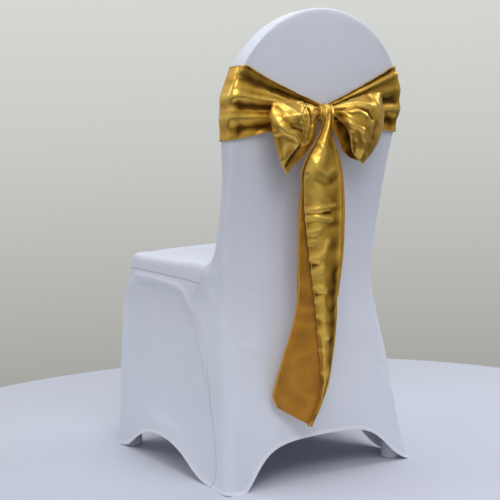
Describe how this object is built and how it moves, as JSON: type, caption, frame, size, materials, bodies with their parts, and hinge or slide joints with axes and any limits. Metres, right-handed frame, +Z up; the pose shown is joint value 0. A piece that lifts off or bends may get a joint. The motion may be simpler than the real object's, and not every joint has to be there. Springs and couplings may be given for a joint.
{
  "type": "chair cover with sash",
  "caption": "Stretch cover for a banquet chair with a rounded back, arched hems and foot pockets, and a gold satin sash tied in a bow behind the back.",
  "frame": {"origin": "the inner face of the cloth under the crest of the cover's back, where the chair's back carries it", "axes": "+Z up, +X to the left of a person sitting in the chair, -Y the way that person faces, so the bow is on the +Y side"},
  "size_m": [0.469, 0.5827, 0.9559],
  "materials": {
    "white_stretch_cloth": "matte knitted stretch cloth",
    "gold_satin": "shiny satin"
  },
  "bodies": {
    "root": {"cover_back_panel": "white_stretch_cloth", "cover_front_panel": "white_stretch_cloth", "cover_skirt": "white_stretch_cloth", "foot_pocket_rear_left": "white_stretch_cloth", "foot_pocket_rear_right": "white_stretch_cloth", "foot_pocket_front_left": "white_stretch_cloth", "foot_pocket_front_right": "white_stretch_cloth", "sash": "gold_satin"}
  },
  "joints": []
}
